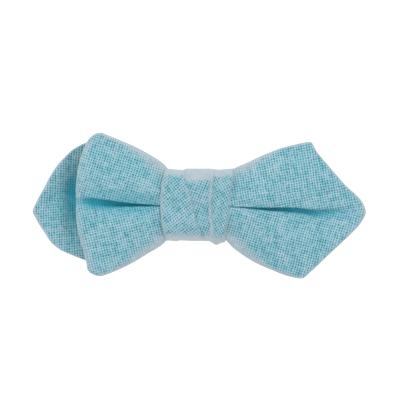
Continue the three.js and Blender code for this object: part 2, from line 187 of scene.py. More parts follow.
# ---- The cut of the two strips ----
# Each wing lists knots of smooth curves in millimetres. x is measured from the middle of the
# bow outwards. top, bottom: height of the edges at x. lip: height of the crease's upper lip.
# mouth, fall: width and depth of the crease. crest, rim: how far the cloth stands from the
# middle of the stack at its crown and along its edges. end: x of the outer edge at a height.
# valley, spread: depth and half width of the soft roll of the cloth into the crease.
# fullness: power of the bulge from edge to edge, higher where the cloth is flatter.
# grain: slope of the threads above and below the crease, in degrees.
FRONT = {
    "blade": {
        "top": [(0, 9.4), (8.5, 10.0), (11, 12.1), (13.4, 13.8), (17.2, 15.5), (21.6, 17.6),
                (26.8, 19.8), (32.9, 21.7), (37.5, 22.8), (40.8, 23.2)],
        "bottom": [(0, -9.4), (8, -9.9), (10, -12.2), (12, -14.4), (15.5, -17.2), (20.7, -20.4),
                   (26.8, -23.1), (32.9, -25.3), (37.6, -26.3)],
        "end": [(-26.3, 37.6), (-24.3, 39.6), (-18.3, 45.9), (-12.2, 52.4), (-6.1, 58.3),
                (-2.4, 60.2), (1.2, 59.2), (7.8, 52.7), (14.4, 46.9), (20.0, 42.3), (23.2, 40.8)],
        "lip": [(0, 0.0), (12, -0.1), (23, -0.5), (35, -0.6), (41, -1.2), (47, -1.0), (60, 0.6)],
        "mouth": [(0, 0.3), (12, 0.45), (18, 0.7), (24, 1.2), (37, 2.6), (51, 4.6), (60, 6.0)],
        "fall": [(0, 0.9), (11, 0.5), (15, 0.7), (21, 1.4), (27, 2.3), (37, 2.1), (46, 1.3),
                 (54, 0.4), (60, 0)],
        "valley": [(0, 0), (11, 0), (16, 1.0), (26, 1.2), (40, 0.9), (52, 0.4), (60, 0)],
        "crest": [(0, 5.05), (11, 5.3), (13.5, 6.2), (16, 7.0), (22, 8.0), (32, 7.7), (42, 6.6),
                  (60, 4.6)],
        "rim": [(0, 3.45), (12, 3.5), (16, 3.6), (26, 4.4), (38, 4.9), (60, 4.4)],
        "spread": 1.9,
        "fullness": 2.9,
        "grain": (10, -15),
    },
    "loop": {
        "top": [(0, 9.4), (8, 10.0), (10, 12.2), (11.5, 14.3), (13.5, 16.1), (18.1, 19.0),
                (24.1, 22.1), (30.0, 24.5), (36.4, 27.2)],
        "bottom": [(0, -9.4), (8.5, -10.0), (10.5, -11.3), (12, -13.0), (18.1, -17.1),
                   (24.5, -20.9), (31.9, -24.2), (36.6, -25.8)],
        "end": [(-25.8, 36.6), (-24.6, 38.5), (-20.5, 40.0), (-17.0, 40.9), (-12.2, 42.4),
                (-5.7, 43.7), (1.4, 44.0), (9.7, 43.7), (16.2, 42.6), (22.1, 40.5), (25.4, 38.6),
                (27.2, 36.4)],
        "lip": [(0, 0.0), (12, 0.2), (18, 0.6), (26, 1.2), (32, 2.0), (40, 3.0), (44, 3.2)],
        "mouth": [(0, 0.3), (12, 0.45), (18, 0.8), (26, 1.6), (32, 2.8), (40, 4.3), (44, 4.6)],
        "fall": [(0, 0.9), (11, 0.5), (15, 0.9), (22, 1.9), (27, 2.5), (32, 2.6), (38, 1.6),
                 (44, 0.6)],
        "valley": [(0, 0), (11, 0), (16, 1.6), (26, 2.2), (36, 1.7), (44, 0.9)],
        "crest": [(0, 5.05), (12.5, 5.5), (15, 6.2), (18, 6.9), (23, 7.6), (32, 7.4), (44, 6.3)],
        "rim": [(0, 3.45), (12, 3.5), (16, 3.9), (26, 4.9), (36, 5.5), (44, 5.3)],
        "spread": 3.4,
        "fullness": 2.9,
        "grain": (-16, 13),
    },
    "opening": 2.6,
    "inner_crest": [(0, 2.5), (12, 2.4), (22, 1.6), (44, 1.1)],
}
REAR = {
    "blade": {
        "top": [(0, 9.4), (8.5, 10.0), (12, 12.4), (18, 16.2), (24, 19.4), (30, 22.0),
                (37.9, 24.3)],
        "bottom": [(0, -9.4), (9, -10.0), (12, -12.2), (18, -15.2), (24, -17.6), (30, -19.3),
                   (38.9, -20.3)],
        "end": [(-20.3, 38.9), (-18.3, 45.0), (-16.2, 49.9), (-14.0, 52.9), (-9.7, 56.1),
                (-4.9, 59.2), (-1.8, 60.5), (1.4, 59.2), (6.6, 56.4), (12.6, 53.1), (17.4, 49.3),
                (21.4, 44.5), (24.3, 37.9)],
        "lip": [(0, 0.0), (20, 0.6), (40, 4.4), (50, 3.0), (60, -1.0)],
        "mouth": [(0, 0.4), (20, 1.0), (36, 2.6), (46, 4.0), (60, 5.0)],
        "fall": [(0, 0.9), (14, 1.8), (30, 1.8), (38, 0.9), (44, 0.3), (59, 0.0)],
        "valley": [(0, 0), (30, 0.4), (40, 0.7), (50, 0.3), (59, 0)],
        "crest": [(0, 5.05), (12, 5.2), (22, 5.5), (31, 5.7), (37, 7.2), (43, 8.2), (46.5, 7.7),
                  (49.5, 5.8), (54, 4.9), (60, 4.4)],
        "rim": [(0, 3.45), (20, 3.0), (38, 1.8), (44, 1.4), (60, 3.0)],
        "spread": 1.9,
        "fullness": 1.7,
        "grain": (5, -5),
    },
    "loop": {
        "top": [(0, 9.4), (9, 10.0), (12, 12.0), (18, 15.4), (24, 18.0), (30, 19.8), (35.5, 20.6)],
        "bottom": [(0, -9.4), (9, -10.0), (12, -12.4), (18, -16.2), (24, -19.6), (30, -22.0),
                   (35.5, -23.4)],
        "end": [(-23.4, 35.5), (-21.8, 37.4), (-12, 40.2), (-1.5, 41.4), (10, 40.4), (19.2, 37.2),
                (20.6, 35.5)],
        "lip": [(0, 0.0), (20, -0.3), (41, -1.2)],
        "mouth": [(0, 0.4), (20, 1.0), (41, 4.0)],
        "fall": [(0, 0.9), (14, 1.8), (30, 2.2), (41, 1.0)],
        "valley": [(0, 0), (12, 0), (30, 0.5), (41, 0.3)],
        "crest": [(0, 5.05), (12, 5.2), (22, 5.5), (31, 5.6), (41, 5.0)],
        "rim": [(0, 3.45), (20, 3.2), (41, 3.4)],
        "spread": 1.9,
        "fullness": 2.9,
        "grain": (-12, 12),
    },
    "opening": 2.2,
    "inner_crest": [(0, 2.5), (12, 2.4), (22, 1.6), (41, 1.2)],
}

# How a strip is made up, in millimetres
HALF_STRIP = 1.0  # half a strip's thickness
CLOTH = 0.35
INTERLINING_HALF = 0.55  # half the interlining's thickness
INTERLINING_MARGIN = 1.6  # how far in from the strip's edges the interlining stops
SEAM_MARGIN = 1.0  # how far in from the strip's edges the seam thread runs
SEAM_RADIUS = 0.2
SEAM_SIDES = 8
LAYER_PITCH = 2.3  # how far the rim of a loop's inner layer lies behind the outer one's
SEAM_GAP = 0.02  # half the hairline between the face and its lining
EDGE_ROLL = 1.1  # how far in from an edge a strip's rounding reaches
CORNER = 1.3  # rounding of a blade's corners in its own plane
END_SLANT = 1.4  # distance along x for one square to a blade's slanting end
RETURN_END = 0.02  # share of the reach at which a loop's hidden return stops

# How the cloth leaves the knot, bulges and waves
FREE = (10, 18)  # x over which the cloth comes free of the knot
FILLED = (12, 34)  # x over which a wing takes its own fullness
ROUND_POWER = 1.7  # power of the bulge beside the knot, where the cloth is roundest
EDGE_WAVE, OUTER_WAVE, INNER_WAVE = 0.16, 0.22, 0.15  # heights of the gentle waves

# The crease, in shares of its mouth: the wall under its lip, and the ramp below the floor
WALL_TOP, WALL_WIDTH = 0.12, 0.3
RAMP = (0.25, 1.2)
SPREAD_BY_MOUTH = 0.8  # how much of the mouth adds to the soft roll into the crease
INNER_FOLLOWS = 0.4  # share of the crease's fall that a loop's inner layer follows
INNER_MOST = 1.5  # and the most that it falls

# Where the cloth is pale with painted sheen and highlight, partly rubbed wear, and where hollows
# get painted shade
SHEEN_AND_WEAR_EDGE, SHEEN_AND_WEAR_MORE = 1.3, 4.2  # width at the edges, and what is added beside the knot
SHEEN_AND_WEAR_NEAR = (13, 30)  # x over which that addition ends
SHEEN_AND_WEAR_END = 1.9  # width at a blade's end and at a loop's fold
FOLD_REACH = 1.2  # how far a loop's fold reaches past its layers
HOLLOW_DEPTH = 3.6  # how deep in a hollow the painted shade reaches its full strength
HOLLOW_FREE = 0.3  # depth that still gets no painted shade
HOLLOW_STAND = 4.3  # stand past which the lining's side of a strip is a hollow with painted shade
HOLLOW_POWER = 1.2
HOLLOW_SHADE = 1.2  # how much painted shade the deepest hollow takes from the light_and_wear value
SHADE_IN_CREASE = 1.6  # depth that a narrow crease's shelter adds to its own, for its painted shade

BLADE_ROWS, OUTER_ROWS, FOLD_ROWS, RETURN_ROWS = 64, 56, 18, 24
LIP_COLUMNS, UPPER_COLUMNS, CREASE_COLUMNS, LOWER_COLUMNS, ROLL_POINTS = 5, 30, 18, 28, 8
LIP_SHARE, CREASE_SHARE = 0.2, 1.3  # mouths above and under the lip with close columns
GRAIN_BREAK = 3  # columns under the lip at which the grain changes
ROLL = 1 - np.cos(np.linspace(0, pi / 2, ROLL_POINTS))


def end_reach(wing, t):
    """x of a wing's outer edge at t, which runs from -1 at the bottom to 1 at the top."""
    middle = wing["lip"][-1][1]
    bottom, top = wing["end"][0][0], wing["end"][-1][0]
    height = middle + np.where(t > 0, t * (top - middle), -t * (bottom - middle))
    return through(height, wing["end"])


def edge_heights(wing, s):
    """Heights of the lip, the top edge and the bottom edge at s of the way out."""
    reach = [end_reach(wing, np.array(t)) for t in (0.0, 1.0, -1.0)]
    return [through(s * x, wing[curve]) for x, curve in zip(reach, ("lip", "top", "bottom"))]


def columns(wing, s, inset):
    """Values of t across a wing at a column of s. They are close in the crease and where the
    edges roll: there the distance in from the edge is r (1 - cos a), with a in even steps."""
    middle, top, bottom = edge_heights(wing, s)
    mouth = through(s * end_reach(wing, np.array(0.0)), wing["mouth"])

    def half(height, crease, inside, count):
        near = crease * np.linspace(0, 1, inside, endpoint=False)
        far = np.linspace(0, 1, count, endpoint=False)
        far = crease + (height - inset - EDGE_ROLL - crease) * far
        return np.concatenate([near, far, height - inset - EDGE_ROLL * ROLL[::-1]], 1) / height

    up = half(top - middle, LIP_SHARE * mouth, LIP_COLUMNS, UPPER_COLUMNS)
    down = half(middle - bottom, CREASE_SHARE * mouth, CREASE_COLUMNS, LOWER_COLUMNS)
    return np.concatenate([-down[:, :0:-1], up], 1)


def wing_point(strip, side, layer, s, t):
    """x outwards, height and stand of the strip's middle at s of the way out and t across.
    The stand falls from crest to rim as 1 - |t|^p. The crease is taken from it: a steep wall
    under the lip, a floor, and a ramp back up, with the cloth rolling softly into it. The last
    value, for the painted shade, is the depth of the hollow in which the face's side of the outer
    layer lies: how far the stand is under that of the dome alone, and more in a narrow crease."""
    wing = strip[side]
    x = s * end_reach(wing, t)
    middle, top, bottom = edge_heights(wing, s)
    height = middle + np.where(t > 0, t * (top - middle), -t * (bottom - middle))
    free = ease(x, *FREE)
    height = height + EDGE_WAVE * free * t * ripple(x, 0 * x, seed=3, length=9)
    mouth, fall = through(x, wing["mouth"]), through(x, wing["fall"])
    crest, rim = through(x, wing["crest"]), through(x, wing["rim"])
    q = (height - middle) / mouth
    power = ROUND_POWER + (wing["fullness"] - ROUND_POWER) * ease(x, *FILLED)
    spread = wing["spread"] + SPREAD_BY_MOUTH * mouth
    soft = np.exp(-(((height - middle + mouth / 2) / spread) ** 2))
    if layer == 0:
        crease = ease(WALL_TOP - q, 0, WALL_WIDTH) * (1 - ease(-q, *RAMP))
        dome = rim + (crest - rim) * (1 - np.abs(t) ** power)
        stand = dome - fall * crease - through(x, wing["valley"]) * soft
        # sunk sets the painted shade in the crease and the hollow
        sunk = dome - stand + SHADE_IN_CREASE * crease / (1 + mouth / 2) - HOLLOW_FREE
        stand = stand + OUTER_WAVE * free * ripple(x, height, seed=11, length=17)
        return x, height, stand, sunk
    crest = through(x, strip["inner_crest"])
    rim = np.minimum(rim - LAYER_PITCH, crest)
    stand = rim + (crest - rim) * (1 - np.abs(t) ** power)
    stand = stand - np.minimum(INNER_MOST, INNER_FOLLOWS * fall) * soft
    stand = stand + INNER_WAVE * free * ripple(x, height, seed=23, length=15)
    return x, height, stand, 0 * stand


def rounded_corner(wing, s, t):
    """s and t with a blade's square corners made round: within CORNER of both edges, (p, q)
    becomes (p sqrt(1 - q^2 / 2), q sqrt(1 - p^2 / 2)), which carries a square to a circle."""
    middle, top, bottom = edge_heights(wing, s)
    high = np.where(t > 0, top - middle, middle - bottom)
    wide = end_reach(wing, t)
    p = np.clip(1 - (1 - s) * wide / CORNER, 0, 1)
    q = np.clip(1 - (1 - np.abs(t)) * high / CORNER, 0, 1)
    p_shift, q_shift = p - p * np.sqrt(1 - q * q / 2), q - q * np.sqrt(1 - p * p / 2)
    return s - CORNER * p_shift / wide, t - np.sign(t) * CORNER * q_shift / high


def strip_part(strip, part, inset, lift):
    """Points of one part of a strip, rows along it and columns across, each with its
    light_and_wear
    value: 1 at the edges and the fold, with painted sheen and highlight and some rubbed wear, 0 on
    open cloth, and below 0 in hollows, with painted shade. They lie lift away from its middle,
    times a profile that rounds the edges: sqrt(1 - (1 - e / r)^2) at e in from an edge, and 1
    beyond r. The loop's fold is half an ellipse between its layers. On the lining's side the
    painted shade of the hollow is what stands past HOLLOW_STAND, times 1 - t^2."""
    side = "blade" if part == "blade" else "loop"
    wing = strip[side]
    reach = max(x for _, x in wing["end"])
    loop_end = 1 - (strip["opening"] / 2 + HALF_STRIP) / reach
    if part == "blade":
        tip = 1 - END_SLANT * (inset + EDGE_ROLL * ROLL) / reach
        row = np.concatenate([tip, np.linspace(tip[-1], 0, BLADE_ROWS + 1)[1:]])
    elif part == "outer":
        row = np.linspace(0, loop_end, OUTER_ROWS + 1)[1:]
    elif part == "fold":
        row = np.linspace(0, 1, FOLD_ROWS + 1)[1:]
    else:
        row = np.linspace(loop_end, RETURN_END, RETURN_ROWS + 1)[1:]
    row = row[:, None]
    s = np.full_like(row, loop_end) if part == "fold" else row
    t = columns(wing, s, inset)
    s = s + 0 * t
    end_round = 1.0
    if part == "blade":
        s, t = rounded_corner(wing, s, t)
        e = np.clip(((1 - s) * reach / END_SLANT - inset) / EDGE_ROLL, 0, 1)
        end_round = np.sqrt(1 - (1 - e) ** 2)
    middle, top, bottom = edge_heights(wing, s)
    high = np.where(t > 0, top - middle, middle - bottom)
    e = np.clip(((1 - np.abs(t)) * high - inset) / EDGE_ROLL, 0, 1)
    out = lift * end_round * np.sqrt(1 - (1 - e) ** 2) + SEAM_GAP * np.sign(lift)
    x, z, near, sunk = wing_point(strip, side, 0, s, t)
    # Painted sheen and highlight, partly rubbed wear: pale within a width of the edges that grows
    # beside the knot, and at a blade's end and a loop's fold
    width = SHEEN_AND_WEAR_EDGE + SHEEN_AND_WEAR_MORE * (1 - ease(x, *SHEEN_AND_WEAR_NEAR))
    light_and_wear = 1 - ease((1 - np.abs(t)) * high, 0, width)
    end_gap = ((1 if part == "blade" else loop_end + FOLD_REACH / reach) - s) * reach
    # Painted shade: in creases and hollows on the face's side, and on the lining's side where the
    # blade lies back behind the loop's edge
    sunk = sunk if lift > 0 else (near - HOLLOW_STAND) * (1 - t * t)
    sunk = np.clip(sunk / HOLLOW_DEPTH, 0, 1) ** HOLLOW_POWER
    light_and_wear = np.maximum(light_and_wear, 1 - ease(end_gap, 0, SHEEN_AND_WEAR_END)) - HOLLOW_SHADE * sunk
    if part == "blade":
        return np.stack([x, near + out, z, light_and_wear], -1)
    if part == "outer":
        return np.stack([-x, near + out, z, light_and_wear], -1)
    far = wing_point(strip, side, 1, s, t)[2]
    if part == "return":
        return np.stack([-x, far - out, z, light_and_wear], -1)
    turn = pi * row
    ahead = (near + far) / 2 + ((near - far) / 2 + out) * np.cos(turn)
    return np.stack([-x - (strip["opening"] / 2 + out) * np.sin(turn), ahead, z, light_and_wear], -1)


PARTS = ("blade", "outer", "fold", "return")


def strip_grid(strip, facing, inset, lift):
    """A strip's points from the blade's end to the loop's hidden end, their light_and_wear values
    of painted light and wear, and the first row of each part. facing is 1 for the front strip
    and -1 for the rear one, which is turned half round about Z."""
    pieces = [strip_part(strip, part, inset, lift) for part in PARTS]
    x, ahead, z, light_and_wear = np.moveaxis(np.concatenate(pieces), -1, 0)
    first = np.cumsum([0] + [len(piece) for piece in pieces])
    return np.stack([facing * x, -(STACK_AHEAD + facing * ahead), z], -1), light_and_wear, first


def running(points, axis, plane):
    """Running length along one axis of a grid of points, measured in a plane's two axes."""
    step = np.diff(points, axis=axis)
    length = np.cumsum(np.hypot(step[..., plane[0]], step[..., plane[1]]), axis)
    origin = np.zeros((1, length.shape[1])) if axis == 0 else np.zeros((len(length), 1))
    return np.concatenate([origin, length], axis)


def strip_weave(strip, points, first, pitch):
    """Thread counts along and across a strip at the corners of its faces. The cloth is laid
    flat by running length, from the waist and from the middle of each half. Each quarter is
    then turned by its grain about the outer end of its crease."""
    waist, fold = first[1] - 1, first[2]
    along = running(points, 0, (0, 1))
    along = along[waist] - along
    across = running(points, 1, (1, 2))
    height = points[..., 2]
    count = points.shape[1]
    crease = count - LIP_COLUMNS - UPPER_COLUMNS - ROLL_POINTS - GRAIN_BREAK
    weave = np.zeros((len(points) - 1, count - 1, 4, 2))
    halves = ((slice(0, crease), crease // 2), (slice(crease, None), (crease + count) // 2))
    wings = ((slice(0, waist), "blade", 0), (slice(waist, None), "loop", fold))
    for half, (across_part, middle) in enumerate(halves):
        flat = across - across[:, middle:middle + 1] + height[:, middle:middle + 1]
        for rows, side, end in wings:
            grain = radians(strip[side]["grain"][1 - half])
            u = corner_values(along)[rows, across_part] - along[end, crease]
            v = corner_values(flat)[rows, across_part] - height[end, crease]
            turned = u * np.cos(grain) + v * np.sin(grain), v * np.cos(grain) - u * np.sin(grain)
            weave[rows, across_part] = np.stack(turned, -1) / pitch
    return weave


# ---- The knot ----
# Across its front the band has three folds of cloth: the left one overlaps the middle one
# along STEP, and a raised pleat stands along RIDGE. Each curve gives x at a height.
KNOT_LEFT = [(-13, -11.3), (-7.9, -12.6), (-3.6, -13.3), (0.4, -13.5), (5.4, -13.3),
             (10.8, -12.4), (14, -11.2)]
KNOT_RIGHT = [(-13, 9.8), (-7.9, 10.4), (-3.6, 11.3), (0, 11.8), (5, 12.2), (10.1, 12.9),
              (14, 13.7)]
STEP = [(-13, 2.3), (-9.3, 1.1), (-5.4, -0.8), (-1.1, -1.7), (2.9, -2.6), (6.5, -4.0),
        (8.5, -4.7), (14, -4.7)]
RIDGE = [(-13.5, 5.8), (-11.5, 4.9), (-6.8, 4.8), (-3.6, 4.2), (1.1, 4.2), (6.8, 4.7),
         (14, 5.4)]
KNOT_RISE = 0.5  # how far the band's middle stands above the strips' middle
BAND_BACK_HALF = 7.0  # half the band's width behind the clip bar
BAND_MIDDLE, BAND_DEPTH, BAND_HALF_HEIGHT = 7.4, 7.7, 11.6
BAND_THICK = 1.5
BAND_ROLL = 1.2  # how far in from its long edges the band's rounding reaches
BAND_BORDER = 0.03  # keeps the band's two long edges a little thick
BUTT_GAP = 0.004  # half circles by which each end stops short of the closing behind the bar
SQUARENESS = 4  # exponent of the superellipse round the waist
SIDE, FLAT = 0.2, 0.95  # ahead_way where the band has its front width, and its full relief
BAND_ROWS = 180
FOLD_COLUMNS = (34, 30, 34)  # across the left, middle and right folds
KNOT_GRAIN = (53, 21, -30)  # slope of the threads on the three folds, in degrees

# The relief of the band's front
STEP_HEIGHT = 1.6
STEP_FALL, STEP_RISE = (-0.1, 0.3), (-10, 3)  # distances from STEP over which it falls and rises
PLEAT_HEIGHT = 0.9
PLEAT_HALF, PLEAT_OPENS = 0.65, 0.7  # half width of the pleat, and what is added at its foot
PLEAT_FOOT = (4, 11)  # depth under the bow's middle over which it opens
PLEAT_DROP, DROP_WIDTH = 0.5, 1.4  # how far the cloth lies lower to the right of the pleat
HEM_HEIGHT, HEM_IN, HEM_HALF = 0.5, 1.0, 0.7  # the roll along the right border
CROWN, KNOT_WAVE = 0.45, 0.15
CURL, CURL_SKEW = 1.9, 0.5  # how far the borders turn back, plus or minus this right and left
FLARE = 0.7  # how far the borders open out round the strips
BELLY, BELLY_AT, BELLY_HALF = 1.4, 6.6, 1.7  # the bulge under the right fold
HOLLOW, HOLLOW_AT, HOLLOW_HALF = 0.8, -8.5, 3.5  # the hollow under the left fold
LEFT_DROP, RIGHT_DROP = 0.45, 0.4  # how far the top edge sinks over the left and right folds

# The pale parts of the band, with painted highlight and sheen
HAZE_FROM = 10.6  # height from which the top of the left fold is pale with painted highlight and sheen
HAZE_LOWER, HAZE_HIGHER = 2.0, 1.4  # lower on the middle fold, and higher than that on the right
HAZE_SOFT = 0.9  # half the height over which the haze comes in
FOOT_HAZE = (8.6, 10.6)  # depths under the middle over which the lower edge turns pale with painted light
KNOT_WORN = 0.08  # light_and_wear value of the open cloth on the knot

STITCH_RADIUS = 0.22
STITCH_COUNT = 7
STITCH_POINTS = 24  # points along one stitch
STITCH_LIFT, STITCH_BITE = 0.25, 0.1  # how far a stitch arches off the cloth and sinks into it


def knot_grid(lift):
    """The band's points, rows round the waist and columns across, lift away from its middle,
    and their light_and_wear values: painted highlight and sheen on the top and bottom rolls, the
    ridge, the borders and the step's edge, and painted shadow to the right of the step. Round
    the waist it is a superellipse. Across, the columns share the width between the left border,
    the step, the ridge and the right border. The relief adds the step, the pleat and the hem, as
    eased steps and bells exp(-(d / w)^2)."""
    turn = -pi / 2 + pi * np.linspace(BUTT_GAP, 2 - BUTT_GAP, BAND_ROWS)[:, None]
    ahead_way, up_way = np.sin(turn), np.cos(turn)
    scale = (np.abs(ahead_way) ** SQUARENESS + np.abs(up_way) ** SQUARENESS) ** (-1 / SQUARENESS)
    ahead_way, up_way = ahead_way * scale, up_way * scale
    front = ease(ahead_way, -FLAT, SIDE)
    face = ease(ahead_way, SIDE, FLAT)
    rise = KNOT_RISE + (BAND_HALF_HEIGHT + BAND_THICK / 2) * up_way
    lines = [through(rise, curve) for curve in (KNOT_LEFT, STEP, RIDGE, KNOT_RIGHT)]
    folds = [left + (right - left) * np.linspace(0, 1, count, endpoint=False)
             for left, right, count in zip(lines, lines[1:], FOLD_COLUMNS)]
    x = np.concatenate([*folds, lines[3]], 1)
    across = 2 * (x - lines[0]) / (lines[3] - lines[0]) - 1
    x = front * x + (1 - front) * BAND_BACK_HALF * across
    edge = (1 - np.abs(across)) * (lines[3] - lines[0]) / 2
    e = np.clip((edge + BAND_BORDER) / BAND_ROLL, 0, 1)
    out = BAND_THICK / 2 + lift * np.sqrt(1 - (1 - e) ** 2) * (BAND_THICK / 2)
    step, ridge = x - lines[1], x - lines[2]
    pleat = PLEAT_HALF + PLEAT_OPENS * ease(-rise, *PLEAT_FOOT)
    relief = STEP_HEIGHT * (1 - ease(step, *STEP_FALL)) * ease(step, *STEP_RISE)
    relief = relief + PLEAT_HEIGHT * np.exp(-((ridge / pleat) ** 2))
    relief = relief - PLEAT_DROP * ease(ridge, 0, DROP_WIDTH)
    relief = relief + HEM_HEIGHT * np.exp(-(((edge - HEM_IN) / HEM_HALF) ** 2)) * (across > 0)
    relief = relief + CROWN * (1 - across ** 2) + KNOT_WAVE * ripple(x, rise, seed=5, length=8)
    relief = relief * np.clip(lift, 0, 1) - (CURL + CURL_SKEW * np.sign(across)) * across ** 4
    open_out = FLARE * np.abs(across) ** 6
    ahead = BAND_MIDDLE + (BAND_DEPTH + out + relief * face + open_out / 3) * ahead_way
    outside = ease(lift, -1, 1)
    under, over = front * ease(-up_way, 0.3, 1) * outside, front * ease(up_way, 0.3, 1) * outside
    bump = BELLY * under * np.exp(-(((x - BELLY_AT) / BELLY_HALF) ** 2))
    bump = bump - HOLLOW * under * np.exp(-(((x - HOLLOW_AT) / HOLLOW_HALF) ** 2))
    bump = bump - LEFT_DROP * over * (1 - ease(step, -0.3, 0.3))
    bump = bump - RIGHT_DROP * over * ease(x, 4, 8)
    z = KNOT_RISE * front + (BAND_HALF_HEIGHT + out + open_out + bump) * up_way
    # Painted highlight and sheen on the top roll, from a height that changes fold by fold, and on
    # the bottom roll past FOOT_HAZE
    haze = HAZE_FROM - HAZE_LOWER * ease(step, -0.8, 0.8) + HAZE_HIGHER * ease(ridge, -0.8, 0.8)
    haze = haze + 0.5 * ripple(x, 0 * x, seed=8, length=3)
    light_and_wear = np.maximum(ease(rise, haze - HAZE_SOFT, haze + HAZE_SOFT), ease(-rise, *FOOT_HAZE))
    # Painted highlight along the pleat's ridge
    light_and_wear = np.maximum(light_and_wear, np.exp(-((ridge / (0.6 * pleat)) ** 2)))
    # Painted shadow on the fold to the right of the step
    light_and_wear = light_and_wear - (1 - light_and_wear) * face * ease(step, -0.1, 0.1) * (1 - ease(step, 0.7, 1.6))
    # Painted highlight on the band's rolled borders
    light_and_wear = np.maximum(light_and_wear, 0.8 * (1 - ease(edge, 0.3, 1.1)))
    # Painted highlight along the step's folded edge
    light_and_wear = np.maximum(light_and_wear, 0.5 * np.exp(-(((step + 0.45) / 0.35) ** 2)))
    return np.stack([x, -ahead, z], -1), np.clip(KNOT_WORN + light_and_wear, -1, 1)


def knot_weave(points, pitch):
    """Thread counts on the band. Each fold is laid flat by running length from its own middle
    and turned by its own grain."""
    around = running(points, 0, (1, 2))
    around = around - around[len(around) // 2]
    across = running(points, 1, (0, 1))
    weave = np.zeros((len(points) - 1, points.shape[1] - 1, 4, 2))
    bounds = np.cumsum([0, *FOLD_COLUMNS])
    for low, high, grain in zip(bounds, bounds[1:], KNOT_GRAIN):
        part = slice(low, high)
        middle = (low + high) // 2
        u = corner_values(across - across[:, middle:middle + 1] + points[:, middle:middle + 1, 0])
        u, v = u[:, part], corner_values(around)[:, part]
        grain = radians(grain)
        turned = u * np.cos(grain) + v * np.sin(grain), v * np.cos(grain) - u * np.sin(grain)
        weave[:, part] = np.stack(turned, -1) / pitch
    return weave


# ---- Materials ----
# Noise scales, in waves per metre, and depths of relief, in metres
THREAD_WANDER, SHADE_PATCHES, BLOTCHES, CLOTH_FIBRES = 260.0, 190.0, 420.0, 3500.0
SPUN_FIBRES, METAL_SPECKS, METAL_SCRATCHES = 2600.0, 420.0, (60.0, 900.0, 900.0)
CLOTH_RELIEF, SPUN_RELIEF, SCRATCH_RELIEF = 0.00016, 0.0001, 0.00002
RUN_OF_SLUB = 0.12  # how fast a thread's thickness changes, per thread that it crosses
SLUB_APART = 7.31  # keeps the noise of neighbouring threads apart
NICKEL_ROUGHNESS, STEEL_ROUGHNESS = 0.24, 0.3
STEEL = (0.30, 0.30, 0.31, 1.0)


class Pattern:
    """Makes and joins the nodes of one material."""

    def __init__(self, name):
        self.material = bpy.data.materials.new(name)
        self.material.use_nodes = True
        self.tree = self.material.node_tree
        self.surface = self.tree.nodes["Principled BSDF"]

    def add(self, kind, inputs=(), **settings):
        node = self.tree.nodes.new(kind)
        for key, value in settings.items():
            setattr(node, key, value)
        for socket, value in dict(inputs).items():
            self.put(node.inputs[socket], value)
        return node

    def put(self, socket, value):
        if isinstance(value, bpy.types.NodeSocket):
            self.tree.links.new(value, socket)
        else:
            socket.default_value = value

    def math(self, operation, a, b=0.0, c=0.0):
        node = self.add("ShaderNodeMath", {0: a, 1: b, 2: c}, operation=operation)
        return node.outputs[0]

    def between(self, value, low, high, out_low=0.0, out_high=1.0):
        """value's place between low and high, eased, as a number from out_low to out_high."""
        inputs = {"Value": value, "From Min": low, "From Max": high,
                  "To Min": out_low, "To Max": out_high}
        node = self.add("ShaderNodeMapRange", inputs, interpolation_type="SMOOTHSTEP")
        return node.outputs[0]

    def noise(self, where, scale, detail=2.0, rough=0.5):
        inputs = {"Vector": where, "Scale": scale, "Detail": detail, "Roughness": rough}
        return self.add("ShaderNodeTexNoise", inputs).outputs["Fac"]

    def blend(self, share, first, second):
        node = self.add("ShaderNodeMix", data_type="RGBA")
        for socket, value in zip((node.inputs[0], node.inputs[6], node.inputs[7]),
                                 (share, first, second)):
            self.put(socket, value)
        return node.outputs[2]


